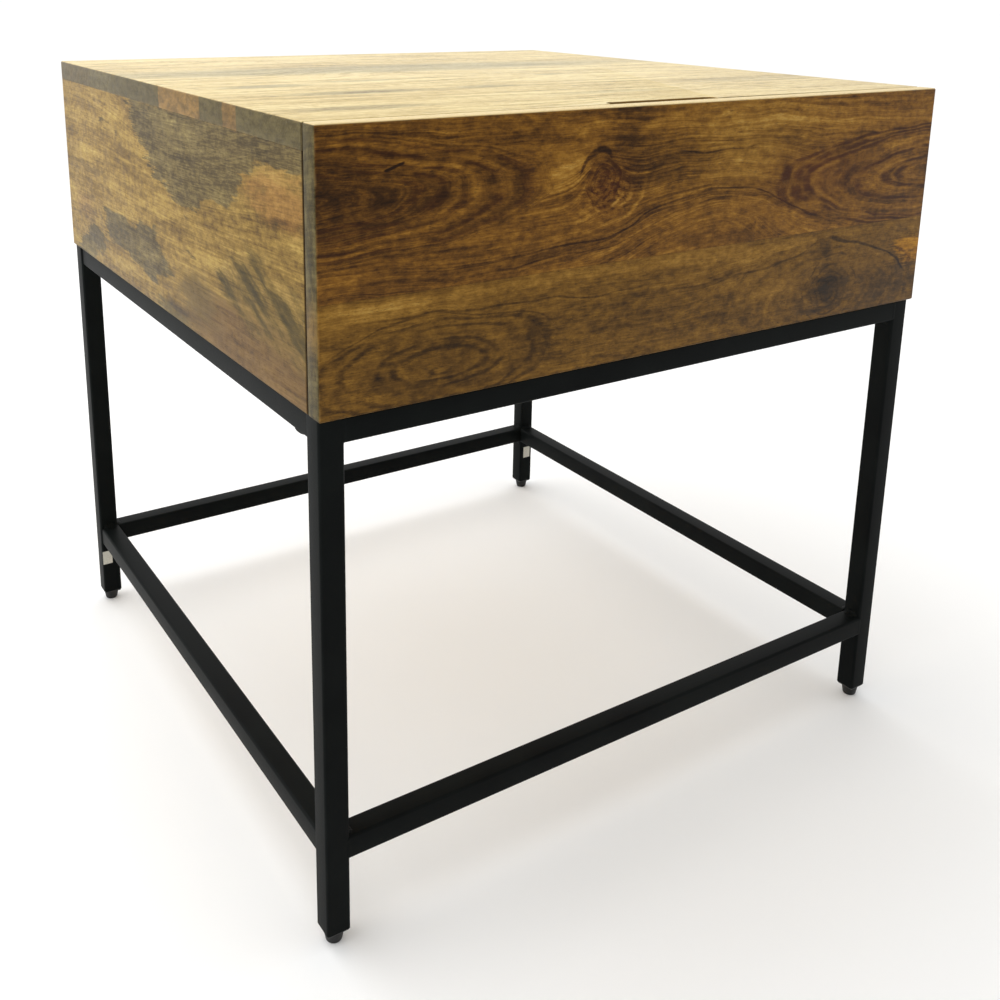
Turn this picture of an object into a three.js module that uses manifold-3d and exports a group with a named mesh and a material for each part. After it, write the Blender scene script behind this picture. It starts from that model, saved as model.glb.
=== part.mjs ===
// Square side table: a welded frame of black square tube carries a wooden case with one drawer.
// Millimetres, +Z up. The drawer front faces -Y and the glides stand on z = 0.

import * as THREE from 'three';
import { ConvexGeometry } from 'three/addons/geometries/ConvexGeometry.js';
import { mergeVertices } from 'three/addons/utils/BufferGeometryUtils.js';
import Module from 'manifold-3d';

const wasm = await Module();
wasm.setup();

// Overall size
const WIDTH = 500;
const DEPTH = 500;
const HEIGHT = 506;
const CASE_HEIGHT = 160;

// Boards
const BOARD = 15;
const FRONT_BOARD = 14;
const FRONT_GAP = 1;
const CASE_BOTTOM_BOARD = 9;
const EASE = 0.8;

// Finger scoop in the front edge of the top
const SCOOP_LENGTH = 90;
const SCOOP_DEPTH = 8.5;
const SCOOP_CORNER = 6;

// Square tube frame
const TUBE = 16;
const TUBE_WALL = 1.2;
const TUBE_CORNER = 2;
const FRAME_SIDE_SETBACK = 1;
const FRAME_END_SETBACK = 3.5;
const SIDE_TUBE_SETBACK = 1.2;
const STRETCHER_BOTTOM = 60;

// Glides pushed into the leg ends
const GLIDE_HEIGHT = 10;
const GLIDE_FLANGE = 2;
const GLIDE_FOOT_RADIUS = { top: 6.6, bottom: 5.3 };
const GLIDE_EDGE = 1.2;
const GLIDE_PLUG = 13.2;
const GLIDE_PLUG_HEIGHT = 12;

// Paper labels on the rear legs. The left one is stuck off centre.
const LABEL = { width: 8.6, height: 13, thickness: 0.2, bottom: 39 };
const LABEL_SHIFT = { left: -3.4, right: 0.6 };

// Drawer box
const BOX_BOARD = 12;
const BOX_HEIGHT = 116;
const BOX_CLEARANCE_BELOW = 8;
const BOX_DEPTH = 426;
const BOX_BOTTOM = 6;
const BOX_BOTTOM_RAISE = 10;
const GROOVE_DEPTH = 6;
const GROOVE_CLEARANCE = 0.1;

// Ball-bearing slides, three members on each side of the drawer
const SLIDE_THICKNESS = 12.7;
const SLIDE_LENGTH = 400;
const SLIDE_SHEET = 1.2;
const SLIDE_FRONT_SETBACK = 2;
const CABINET_MEMBER = { height: 45, depth: 8.5 };
const MIDDLE_MEMBER = { height: 37, depth: 7.1, offset: 3.4 };
const DRAWER_MEMBER = { height: 29, depth: 6.2 };

// Screws: shank radius, shank length, head radius and head height
const CASE_SCREW = { shank: 2, length: 34, head: 4, headHeight: 2.4 };
const SLIDE_SCREW = { shank: 1.7, length: 10, head: 3.4, headHeight: 1.5 };
const FRONT_SCREW = { shank: 1.9, length: 22, head: 3.6, headHeight: 2 };
const SCREW_CLEARANCE = 0.12;
const SCREW_SIDES = 12;
const PILOT_EXTRA_DEPTH = 0.5;

// Places derived from the sizes above
const CASE_BASE = HEIGHT - CASE_HEIGHT;
const TOP_UNDERSIDE = HEIGHT - BOARD;
const FRONT_FACE = -DEPTH / 2;
const FRONT_BACK = FRONT_FACE + FRONT_BOARD;
const CASE_FRONT = FRONT_BACK + FRONT_GAP;
const CASE_REAR = DEPTH / 2;
const CASE_INNER_X = WIDTH / 2 - BOARD;
const CASE_INNER_REAR = CASE_REAR - BOARD;
const LEG_X = WIDTH / 2 - FRAME_SIDE_SETBACK - TUBE / 2;
const LEG_Y = DEPTH / 2 - FRAME_END_SETBACK - TUBE / 2;
const SIDE_TUBE_X = LEG_X - SIDE_TUBE_SETBACK;
const RAIL_Z = CASE_BASE - TUBE / 2;
const STRETCHER_Z = STRETCHER_BOTTOM + TUBE / 2;
const BOX_BASE = CASE_BASE + CASE_BOTTOM_BOARD + BOX_CLEARANCE_BELOW;
const BOX_TOP = BOX_BASE + BOX_HEIGHT;
const BOX_OUTER_X = CASE_INNER_X - SLIDE_THICKNESS;
const BOX_INNER_X = BOX_OUTER_X - BOX_BOARD;
const BOX_REAR = FRONT_BACK + BOX_DEPTH;
const SLIDE_Z = (BOX_BASE + BOX_TOP) / 2;
const SLIDE_Y = CASE_FRONT + SLIDE_FRONT_SETBACK + SLIDE_LENGTH / 2;

// Where the screws sit
const SIDE_RAIL_SCREW_X = LEG_X + 0.5;
const SIDE_RAIL_SCREW_Y = -150;
const REAR_RAIL_SCREW_X = 150;
const REAR_RAIL_SCREW_Y = LEG_Y + 1.5;
const SLIDE_SCREW_Y = [SLIDE_Y - 158, SLIDE_Y + 158];
const FRONT_SCREW_X = 170;
const FRONT_SCREW_Z = [SLIDE_Z - 32, SLIDE_Z + 32];

const MATERIALS = {
  topWood: { color: 0xead9a8, roughness: 0.5, metalness: 0 },
  sideWood: { color: 0xb8935f, roughness: 0.55, metalness: 0 },
  frontWood: { color: 0x76502c, roughness: 0.5, metalness: 0 },
  boxWood: { color: 0xc9a673, roughness: 0.65, metalness: 0 },
  plywood: { color: 0xcdb184, roughness: 0.7, metalness: 0 },
  blackPaint: { color: 0x17191a, roughness: 0.45, metalness: 0.1 },
  blackPlastic: { color: 0x121212, roughness: 0.6, metalness: 0 },
  blackSteel: { color: 0x1b1b1c, roughness: 0.4, metalness: 0.6 },
  zincSteel: { color: 0xb9bcc0, roughness: 0.35, metalness: 0.9 },
  paper: { color: 0xe6e2d3, roughness: 0.85, metalness: 0 },
};

const table = new THREE.Group();
table.name = 'side_table_with_drawer';

function addPiece(name, geometry, material) {
  const mesh = new THREE.Mesh(geometry, new THREE.MeshStandardMaterial(MATERIALS[material]));
  mesh.name = name;
  table.add(mesh);
}

// ---- Solids ----

function toManifold(geometry) {
  const bare = geometry.clone();
  bare.deleteAttribute('normal');
  bare.deleteAttribute('uv');
  const merged = mergeVertices(bare, 1e-4);
  const vertProperties = new Float32Array(merged.attributes.position.array);
  const triVerts = new Uint32Array(merged.index.array);
  return new wasm.Manifold(new wasm.Mesh({ numProp: 3, vertProperties, triVerts }));
}

function fromManifold(solid) {
  const mesh = solid.getMesh();
  const geometry = new THREE.BufferGeometry();
  geometry.setAttribute('position', new THREE.BufferAttribute(mesh.vertProperties, 3));
  geometry.setIndex(new THREE.BufferAttribute(mesh.triVerts, 1));
  geometry.computeVertexNormals();
  return geometry;
}

function cut(geometry, cutters) {
  let solid = toManifold(geometry);
  for (const cutter of cutters) {
    solid = solid.subtract(toManifold(cutter));
  }
  return fromManifold(solid);
}

function join(geometries) {
  let solid = toManifold(geometries[0]);
  for (const geometry of geometries.slice(1)) {
    solid = solid.add(toManifold(geometry));
  }
  return fromManifold(solid);
}

// Box between two corners.
function box(low, high) {
  const size = high.map((value, axis) => value - low[axis]);
  const centre = high.map((value, axis) => (value + low[axis]) / 2);
  return new THREE.BoxGeometry(...size).translate(...centre);
}

// Box whose edges are planed off at 45 degrees. An edge stays sharp where it touches one of
// the faces named in sharpFaces, such as '+z', because a neighbouring board is glued there.
function easedBox(low, high, sharpFaces = []) {
  const points = [];
  const isSharp = (axis, side) => sharpFaces.includes((side ? '+' : '-') + 'xyz'[axis]);
  for (let corner = 0; corner < 8; corner += 1) {
    const sides = [corner & 1, (corner >> 1) & 1, (corner >> 2) & 1];
    const eased = [[1, 2], [0, 2], [0, 1]]
      .filter(([a, b]) => !isSharp(a, sides[a]) && !isSharp(b, sides[b]));
    for (let mask = 0; mask < 8; mask += 1) {
      const steps = [mask & 1, (mask >> 1) & 1, (mask >> 2) & 1];
      if (eased.every(([a, b]) => steps[a] + steps[b] >= 1)) {
        points.push(new THREE.Vector3(...sides.map((side, axis) => (
          side ? high[axis] - EASE * steps[axis] : low[axis] + EASE * steps[axis]
        ))));
      }
    }
  }
  return new ConvexGeometry(points);
}

// Closed outline of a square with rounded corners, walked anticlockwise.
function roundedSquare(path, size, radius) {
  const reach = size / 2 - radius;
  path.moveTo(size / 2, -reach);
  path.absarc(reach, reach, radius, 0, Math.PI / 2);
  path.absarc(-reach, reach, radius, Math.PI / 2, Math.PI);
  path.absarc(-reach, -reach, radius, Math.PI, Math.PI * 1.5);
  path.absarc(reach, -reach, radius, Math.PI * 1.5, Math.PI * 2);
  return path;
}

// Open-ended square tube along an axis, centred on the origin.
function squareTube(length, axis) {
  const outline = roundedSquare(new THREE.Shape(), TUBE, TUBE_CORNER);
  outline.holes.push(
    roundedSquare(new THREE.Path(), TUBE - 2 * TUBE_WALL, TUBE_CORNER - TUBE_WALL),
  );
  const tube = new THREE.ExtrudeGeometry(outline, {
    depth: length,
    bevelEnabled: false,
    curveSegments: 3,
  });
  tube.translate(0, 0, -length / 2);
  if (axis === 'x') {
    tube.rotateY(Math.PI / 2);
  } else if (axis === 'y') {
    tube.rotateX(-Math.PI / 2);
  }
  return tube;
}

// Turns a solid that points along +Z so that it points along the given direction.
function pointAlong(geometry, direction) {
  const up = new THREE.Vector3(0, 0, 1);
  const turn = new THREE.Quaternion().setFromUnitVectors(up, new THREE.Vector3(...direction));
  return geometry.applyQuaternion(turn);
}

// Revolved solid along +Z from [radius, height] pairs that start and end on the axis.
function turned(profile, sides) {
  const points = profile.map(([radius, height]) => new THREE.Vector2(radius, height));
  return new THREE.LatheGeometry(points, sides).rotateX(Math.PI / 2);
}

// Pan-head screw whose head rests on the plane at `seat` and whose shank runs along `direction`.
function panScrew({ shank, length, head, headHeight }, seat, direction) {
  const profile = [
    [0, -headHeight],
    [head * 0.55, -headHeight],
    [head * 0.9, -headHeight * 0.65],
    [head, -headHeight * 0.2],
    [head, 0],
    [shank, 0],
    [shank, length - shank * 2],
    [0, length],
  ];
  const screw = turned(profile, SCREW_SIDES);
  const slots = [[1, 0.16], [0.16, 1]].map(([x, y]) => box(
    [-head * 0.55 * x, -head * 0.55 * y, -headHeight * 1.2],
    [head * 0.55 * x, head * 0.55 * y, -headHeight * 0.4],
  ));
  return pointAlong(cut(screw, slots), direction).translate(...seat);
}

// Cutter for the hole a screw runs through. It starts a little in front of the screw's seat.
function screwHole({ shank, length }, seat, direction) {
  const lead = 1;
  const depth = length + PILOT_EXTRA_DEPTH;
  const hole = new THREE.CylinderGeometry(
    shank + SCREW_CLEARANCE,
    shank + SCREW_CLEARANCE,
    depth + lead,
    SCREW_SIDES,
  );
  hole.rotateX(Math.PI / 2).translate(0, 0, (depth - lead) / 2);
  return pointAlong(hole, direction).translate(...seat);
}

// ---- Screw places, shared by the screws and the holes they need ----

const caseScrews = [
  { name: 'case_screw_left', seat: [-SIDE_RAIL_SCREW_X, SIDE_RAIL_SCREW_Y, CASE_BASE - TUBE] },
  { name: 'case_screw_right', seat: [SIDE_RAIL_SCREW_X, SIDE_RAIL_SCREW_Y, CASE_BASE - TUBE] },
  { name: 'case_screw_rear_left', seat: [-REAR_RAIL_SCREW_X, REAR_RAIL_SCREW_Y, CASE_BASE - TUBE] },
  { name: 'case_screw_rear_right', seat: [REAR_RAIL_SCREW_X, REAR_RAIL_SCREW_Y, CASE_BASE - TUBE] },
];

const frontScrews = [];
for (const [sideName, side] of [['left', -1], ['right', 1]]) {
  for (const [level, z] of [['lower', FRONT_SCREW_Z[0]], ['upper', FRONT_SCREW_Z[1]]]) {
    frontScrews.push({
      name: `front_screw_${sideName}_${level}`,
      seat: [side * FRONT_SCREW_X, FRONT_BACK + BOX_BOARD, z],
    });
  }
}

function caseScrewHoles(names) {
  return caseScrews
    .filter((screw) => names.includes(screw.name))
    .map((screw) => screwHole(CASE_SCREW, screw.seat, [0, 0, 1]));
}

// Seats of the cabinet-member screws (outward) and of the drawer-member screws (inward).
function cabinetScrewSeat(side, y) {
  return [side * (CASE_INNER_X - SLIDE_SHEET), y, SLIDE_Z];
}

function drawerScrewSeat(side, y) {
  return [side * (BOX_OUTER_X + SLIDE_SHEET), y, SLIDE_Z];
}

function slideScrewHoles(seatOf, side, direction) {
  return SLIDE_SCREW_Y.map((y) => screwHole(SLIDE_SCREW, seatOf(side, y), direction));
}

// ---- Frame ----

function addLegs() {
  const bottom = GLIDE_HEIGHT;
  const length = CASE_BASE - bottom;
  for (const [end, y] of [['front', -LEG_Y], ['rear', LEG_Y]]) {
    for (const [side, x] of [['left', -LEG_X], ['right', LEG_X]]) {
      const leg = squareTube(length, 'z').translate(x, y, bottom + length / 2);
      addPiece(`leg_${end}_${side}`, leg, 'blackPaint');
    }
  }
}

function addFrontAndRearTubes() {
  const length = 2 * LEG_X - TUBE;
  for (const [end, y] of [['front', -LEG_Y], ['rear', LEG_Y]]) {
    let rail = squareTube(length, 'x').translate(0, y, RAIL_Z);
    if (end === 'rear') {
      rail = cut(rail, caseScrewHoles(['case_screw_rear_left', 'case_screw_rear_right']));
    }
    addPiece(`top_rail_${end}`, rail, 'blackPaint');
    addPiece(
      `stretcher_${end}`,
      squareTube(length, 'x').translate(0, y, STRETCHER_Z),
      'blackPaint',
    );
  }
}

function addSideTubes() {
  const length = 2 * LEG_Y - TUBE;
  for (const [side, x] of [['left', -SIDE_TUBE_X], ['right', SIDE_TUBE_X]]) {
    const rail = squareTube(length, 'y').translate(x, 0, RAIL_Z);
    addPiece(`top_rail_${side}`, cut(rail, caseScrewHoles([`case_screw_${side}`])), 'blackPaint');
    addPiece(
      `stretcher_${side}`,
      squareTube(length, 'y').translate(x, 0, STRETCHER_Z),
      'blackPaint',
    );
  }
}

// Square frustum along +Z between a lower and an upper half width.
function squareFrustum(lowerHalf, upperHalf, bottom, top) {
  const corners = [[-1, -1], [1, -1], [1, 1], [-1, 1]];
  return new ConvexGeometry([[lowerHalf, bottom], [upperHalf, top]].flatMap(([half, z]) => (
    corners.map(([x, y]) => new THREE.Vector3(half * x, half * y, z))
  )));
}

// Tapered round foot, chamfered square flange under the tube end and square plug inside the
// tube, moulded as one.
function glide() {
  const { top, bottom } = GLIDE_FOOT_RADIUS;
  const footTop = GLIDE_HEIGHT - GLIDE_FLANGE;
  const overlap = 0.1;
  const foot = turned([
    [0, 0],
    [bottom - GLIDE_EDGE, 0],
    [bottom - GLIDE_EDGE * 0.3, GLIDE_EDGE * 0.3],
    [bottom, GLIDE_EDGE],
    [top, footTop + overlap],
    [0, footTop + overlap],
  ], 24);
  const flange = squareFrustum(top, TUBE / 2 - 0.4, footTop, GLIDE_HEIGHT);
  const plugHalf = GLIDE_PLUG / 2;
  const plug = easedBox(
    [-plugHalf, -plugHalf, footTop + GLIDE_FLANGE / 2],
    [plugHalf, plugHalf, GLIDE_HEIGHT + GLIDE_PLUG_HEIGHT],
  );
  return join([foot, flange, plug]);
}

function addGlides() {
  for (const [end, y] of [['front', -LEG_Y], ['rear', LEG_Y]]) {
    for (const [side, x] of [['left', -LEG_X], ['right', LEG_X]]) {
      addPiece(`glide_${end}_${side}`, glide().translate(x, y, 0), 'blackPlastic');
    }
  }
}

function addLabels() {
  const legFront = LEG_Y - TUBE / 2;
  for (const [side, legX] of [['left', -LEG_X], ['right', LEG_X]]) {
    const x = legX + LABEL_SHIFT[side];
    const label = box(
      [x - LABEL.width / 2, legFront - LABEL.thickness, LABEL.bottom],
      [x + LABEL.width / 2, legFront, LABEL.bottom + LABEL.height],
    );
    addPiece(`label_rear_${side}`, label, 'paper');
  }
}

// ---- Case ----

// Upright cutter with rounded inner corners for the finger scoop.
function scoopCutter() {
  const half = SCOOP_LENGTH / 2;
  const back = SCOOP_DEPTH;
  const outline = new THREE.Shape();
  outline.moveTo(-half, -10);
  outline.lineTo(half, -10);
  outline.lineTo(half, back - SCOOP_CORNER);
  outline.absarc(half - SCOOP_CORNER, back - SCOOP_CORNER, SCOOP_CORNER, 0, Math.PI / 2);
  outline.absarc(-half + SCOOP_CORNER, back - SCOOP_CORNER, SCOOP_CORNER, Math.PI / 2, Math.PI);
  const cutter = new THREE.ExtrudeGeometry(outline, {
    depth: BOARD + 4,
    bevelEnabled: false,
    curveSegments: 8,
  });
  return cutter.translate(0, CASE_FRONT, TOP_UNDERSIDE - 2);
}

function addCase() {
  const top = easedBox(
    [-WIDTH / 2, CASE_FRONT, TOP_UNDERSIDE],
    [WIDTH / 2, CASE_REAR, HEIGHT],
    ['-z'],
  );
  addPiece('case_top', cut(top, [scoopCutter()]), 'topWood');

  for (const [sideName, side] of [['left', -1], ['right', 1]]) {
    const xs = [side * CASE_INNER_X, side * WIDTH / 2].sort((a, b) => a - b);
    const panel = easedBox(
      [xs[0], CASE_FRONT, CASE_BASE],
      [xs[1], CASE_REAR, TOP_UNDERSIDE],
      ['+z', side < 0 ? '+x' : '-x'],
    );
    const holes = [
      ...caseScrewHoles([`case_screw_${sideName}`]),
      ...slideScrewHoles(cabinetScrewSeat, side, [side, 0, 0]),
    ];
    addPiece(`case_side_${sideName}`, cut(panel, holes), 'sideWood');
  }

  const back = easedBox(
    [-CASE_INNER_X, CASE_INNER_REAR, CASE_BASE],
    [CASE_INNER_X, CASE_REAR, TOP_UNDERSIDE],
    ['+z', '-x', '+x', '-y'],
  );
  const backHoles = caseScrewHoles(['case_screw_rear_left', 'case_screw_rear_right']);
  addPiece('case_back', cut(back, backHoles), 'sideWood');

  const bottom = box(
    [-CASE_INNER_X, CASE_FRONT, CASE_BASE],
    [CASE_INNER_X, CASE_INNER_REAR, CASE_BASE + CASE_BOTTOM_BOARD],
  );
  addPiece('case_bottom', bottom, 'plywood');
}

function addCaseScrews() {
  for (const { name, seat } of caseScrews) {
    addPiece(name, panScrew(CASE_SCREW, seat, [0, 0, 1]), 'blackSteel');
  }
}

// ---- Drawer ----

// Cutter for the groove that runs round the inside of the drawer box and holds its bottom.
function bottomGroove() {
  const reachX = BOX_INNER_X + GROOVE_DEPTH;
  const low = BOX_BASE + BOX_BOTTOM_RAISE - GROOVE_CLEARANCE;
  return box(
    [-reachX, FRONT_BACK + BOX_BOARD - GROOVE_DEPTH, low],
    [reachX, BOX_REAR - BOX_BOARD + GROOVE_DEPTH, low + BOX_BOTTOM + 2 * GROOVE_CLEARANCE],
  );
}

function addDrawerFront() {
  const front = easedBox(
    [-WIDTH / 2, FRONT_FACE, CASE_BASE],
    [WIDTH / 2, FRONT_BACK, HEIGHT],
  );
  const holes = frontScrews.map((screw) => screwHole(FRONT_SCREW, screw.seat, [0, -1, 0]));
  addPiece('drawer_front', cut(front, holes), 'frontWood');
}

function addDrawerBox() {
  const groove = bottomGroove();
  for (const [sideName, side] of [['left', -1], ['right', 1]]) {
    const xs = [side * BOX_INNER_X, side * BOX_OUTER_X].sort((a, b) => a - b);
    const panel = easedBox(
      [xs[0], FRONT_BACK, BOX_BASE],
      [xs[1], BOX_REAR, BOX_TOP],
      ['-y', '+y'],
    );
    const holes = slideScrewHoles(drawerScrewSeat, side, [-side, 0, 0]);
    addPiece(`drawer_side_${sideName}`, cut(panel, [groove, ...holes]), 'boxWood');
  }

  const innerFront = easedBox(
    [-BOX_INNER_X, FRONT_BACK, BOX_BASE],
    [BOX_INNER_X, FRONT_BACK + BOX_BOARD, BOX_TOP],
    ['-x', '+x'],
  );
  const frontHoles = frontScrews.map((screw) => screwHole(FRONT_SCREW, screw.seat, [0, -1, 0]));
  addPiece('drawer_inner_front', cut(innerFront, [groove, ...frontHoles]), 'boxWood');

  const back = easedBox(
    [-BOX_INNER_X, BOX_REAR - BOX_BOARD, BOX_BASE],
    [BOX_INNER_X, BOX_REAR, BOX_TOP],
    ['-x', '+x'],
  );
  addPiece('drawer_back', cut(back, [groove]), 'boxWood');

  const reach = GROOVE_DEPTH - 0.4;
  const floor = BOX_BASE + BOX_BOTTOM_RAISE;
  const bottom = box(
    [-BOX_INNER_X - reach, FRONT_BACK + BOX_BOARD - reach, floor],
    [BOX_INNER_X + reach, BOX_REAR - BOX_BOARD + reach, floor + BOX_BOTTOM],
  );
  addPiece('drawer_bottom', bottom, 'plywood');
}

function addDrawerFrontScrews() {
  for (const { name, seat } of frontScrews) {
    addPiece(name, panScrew(FRONT_SCREW, seat, [0, -1, 0]), 'zincSteel');
  }
}

// ---- Slides ----

// Folded channel along Y. Its web lies on x = webX and its two flanges reach `depth` from
// there in the direction `opening`, -1 or +1.
function channel({ height, depth }, webX, opening, length) {
  const half = height / 2;
  const inner = half - SLIDE_SHEET;
  const outline = new THREE.Shape([
    [0, -half],
    [depth, -half],
    [depth, -inner],
    [SLIDE_SHEET, -inner],
    [SLIDE_SHEET, inner],
    [depth, inner],
    [depth, half],
    [0, half],
  ].map(([x, y]) => new THREE.Vector2(x, y)));
  const member = new THREE.ExtrudeGeometry(outline, { depth: length, bevelEnabled: false });
  member.translate(0, 0, -length / 2);
  member.rotateX(Math.PI / 2);
  if (opening < 0) {
    member.rotateZ(Math.PI);
  }
  return member.translate(webX, SLIDE_Y, SLIDE_Z);
}

function addSlides() {
  for (const [sideName, side] of [['left', -1], ['right', 1]]) {
    const cabinet = channel(CABINET_MEMBER, side * CASE_INNER_X, -side, SLIDE_LENGTH);
    const cabinetHoles = slideScrewHoles(cabinetScrewSeat, side, [side, 0, 0]);
    addPiece(`slide_${sideName}_cabinet_member`, cut(cabinet, cabinetHoles), 'zincSteel');

    const middleX = side * (CASE_INNER_X - MIDDLE_MEMBER.offset);
    const middle = channel(MIDDLE_MEMBER, middleX, -side, SLIDE_LENGTH - 4);
    addPiece(`slide_${sideName}_middle_member`, middle, 'zincSteel');

    const drawer = channel(DRAWER_MEMBER, side * BOX_OUTER_X, side, SLIDE_LENGTH);
    const drawerHoles = slideScrewHoles(drawerScrewSeat, side, [-side, 0, 0]);
    addPiece(`slide_${sideName}_drawer_member`, cut(drawer, drawerHoles), 'zincSteel');
  }
}

function addSlideScrews() {
  for (const [sideName, side] of [['left', -1], ['right', 1]]) {
    for (const [end, y] of [['front', SLIDE_SCREW_Y[0]], ['rear', SLIDE_SCREW_Y[1]]]) {
      addPiece(
        `cabinet_slide_screw_${sideName}_${end}`,
        panScrew(SLIDE_SCREW, cabinetScrewSeat(side, y), [side, 0, 0]),
        'zincSteel',
      );
      addPiece(
        `drawer_slide_screw_${sideName}_${end}`,
        panScrew(SLIDE_SCREW, drawerScrewSeat(side, y), [-side, 0, 0]),
        'zincSteel',
      );
    }
  }
}

addLegs();
addFrontAndRearTubes();
addSideTubes();
addGlides();
addLabels();
addCase();
addCaseScrews();
addDrawerFront();
addDrawerBox();
addDrawerFrontScrews();
addSlides();
addSlideScrews();

export default table;
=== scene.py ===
"""Looks, light and camera for the side table with a drawer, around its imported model.

Blender 4.5. Metres, +Z up, drawer front towards -Y. Shader lengths are in millimetres.
"""

import math
import random

import bmesh
import bpy
from mathutils import Matrix, Vector


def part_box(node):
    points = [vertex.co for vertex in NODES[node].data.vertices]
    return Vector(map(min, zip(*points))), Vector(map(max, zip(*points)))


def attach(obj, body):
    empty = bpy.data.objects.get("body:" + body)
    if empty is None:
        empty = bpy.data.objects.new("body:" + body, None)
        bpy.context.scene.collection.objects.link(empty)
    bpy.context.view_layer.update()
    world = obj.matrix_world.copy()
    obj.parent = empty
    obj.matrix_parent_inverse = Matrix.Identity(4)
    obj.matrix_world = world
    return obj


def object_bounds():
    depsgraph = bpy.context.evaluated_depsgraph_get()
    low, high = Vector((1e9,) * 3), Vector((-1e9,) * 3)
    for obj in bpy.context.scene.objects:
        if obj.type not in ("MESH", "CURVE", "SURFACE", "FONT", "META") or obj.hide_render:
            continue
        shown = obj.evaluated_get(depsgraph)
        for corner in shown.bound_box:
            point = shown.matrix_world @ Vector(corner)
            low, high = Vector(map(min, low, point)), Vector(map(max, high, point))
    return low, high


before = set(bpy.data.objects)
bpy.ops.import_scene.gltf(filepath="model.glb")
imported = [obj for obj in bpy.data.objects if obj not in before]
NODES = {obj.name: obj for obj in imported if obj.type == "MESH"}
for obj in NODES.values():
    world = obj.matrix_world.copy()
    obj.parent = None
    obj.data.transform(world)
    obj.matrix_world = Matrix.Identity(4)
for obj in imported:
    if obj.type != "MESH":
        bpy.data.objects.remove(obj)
CAD_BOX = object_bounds()
DRAWER_GAP = (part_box("drawer_front")[1].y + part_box("case_top")[0].y) / 2
FRAME_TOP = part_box("top_rail_front")[1].z

# Camera: metres, degrees, millimetres of lens and shares of the picture's width
CAMERA_PLACE = (-0.4958, -0.7708, 0.5758)
CAMERA_YAW = 33.08
CAMERA_PITCH = -14.22
CAMERA_ROLL = 0.85
CAMERA_LENS = 41.08
CAMERA_SHIFT = (0.032, -0.228)

# Surround light: the direction it is brightest in, and its strength opposite to that and in it
WORLD_AIM = (0.0, 0.8, 0.6)
WORLD_STRENGTH = (0.2, 1.42)

# Edges, in metres and degrees
EDGE_ROUNDING = 0.0004
ROUNDED_ANGLE = 30
SMOOTH_ANGLE = 32
TUBE_CORNER = 0.002

# Welds, in metres. The profile is (across, out) over the groove between two tubes. The lump's
# place is measured from the left front lower corner of the left top rail.
FILLET_SIZE = 0.0038
WELD_ROOT = 0.0003
FLUSH_PROFILE = [
    (-0.0016, -0.00008), (-0.0011, 0.00002), (0.0, 0.00005), (0.0011, 0.00002), (0.0016, -0.00008),
    (0.0012, -0.0019), (-0.0012, -0.0019),
]
LUMP_PLACE = Vector((0.0022, 0.0145, 0.0012))
LUMP_HALF_SIZE = (0.0021, 0.0075, 0.0028)

# Joints between planks, in millimetres: heights on the drawer front, and Y on the top
FRONT_JOINT = 65.3
TOP_JOINTS = (-147.0, -87.0, -9.0, 100.0, 159.0)

TUBES = [name for name in NODES if name.startswith(("leg_", "top_rail_", "stretcher_"))]
SIDE_TUBES = ["top_rail_left", "top_rail_right", "stretcher_left", "stretcher_right"]
GLIDES = [name for name in NODES if name.startswith("glide_")]
LABELS = [name for name in NODES if name.startswith("label_")]
CASE_SCREWS = [name for name in NODES if name.startswith("case_screw_")]
BRIGHT_STEEL = [
    name for name in NODES
    if name.startswith(("slide_", "front_screw_")) or "_slide_screw_" in name
]
BOARDS = [name for name in NODES if name.startswith(("case_", "drawer_")) and "screw" not in name]


# ---- Shader graphs ----

def linear(code):
    """Linear RGBA of an sRGB colour written as six hex digits."""
    channels = [int(code[i:i + 2], 16) / 255 for i in (0, 2, 4)]
    return tuple(c / 12.92 if c <= 0.04045 else ((c + 0.055) / 1.055) ** 2.4 for c in channels) + (1.0,)


class Number:
    """One number in a shader graph. Arithmetic on it adds Math nodes."""

    def __init__(self, graph, socket):
        self.graph = graph
        self.socket = socket

    def __add__(self, other):
        return self.graph.math("ADD", self, other)

    def __sub__(self, other):
        return self.graph.math("SUBTRACT", self, other)

    def __mul__(self, other):
        return self.graph.math("MULTIPLY", self, other)

    def __truediv__(self, other):
        return self.graph.math("DIVIDE", self, other)

    def __radd__(self, other):
        return self.graph.math("ADD", other, self)

    def __rsub__(self, other):
        return self.graph.math("SUBTRACT", other, self)

    def __rmul__(self, other):
        return self.graph.math("MULTIPLY", other, self)

    def __pow__(self, power):
        return self.graph.math("POWER", self, power)

    def __abs__(self):
        return self.graph.math("ABSOLUTE", self)

    def low(self, other):
        return self.graph.math("MINIMUM", self, other)

    def high(self, other):
        return self.graph.math("MAXIMUM", self, other)

    def exp(self):
        return self.graph.math("EXPONENT", self)

    def ramp(self, start, end, low=0.0, high=1.0):
        """Smooth step from low to high as the number goes from start to end."""
        node = self.graph.add(
            "ShaderNodeMapRange",
            {"Value": self, "From Min": start, "From Max": end, "To Min": low, "To Max": high},
            interpolation_type="SMOOTHSTEP",
        )
        return Number(self.graph, node.outputs["Result"])


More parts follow.
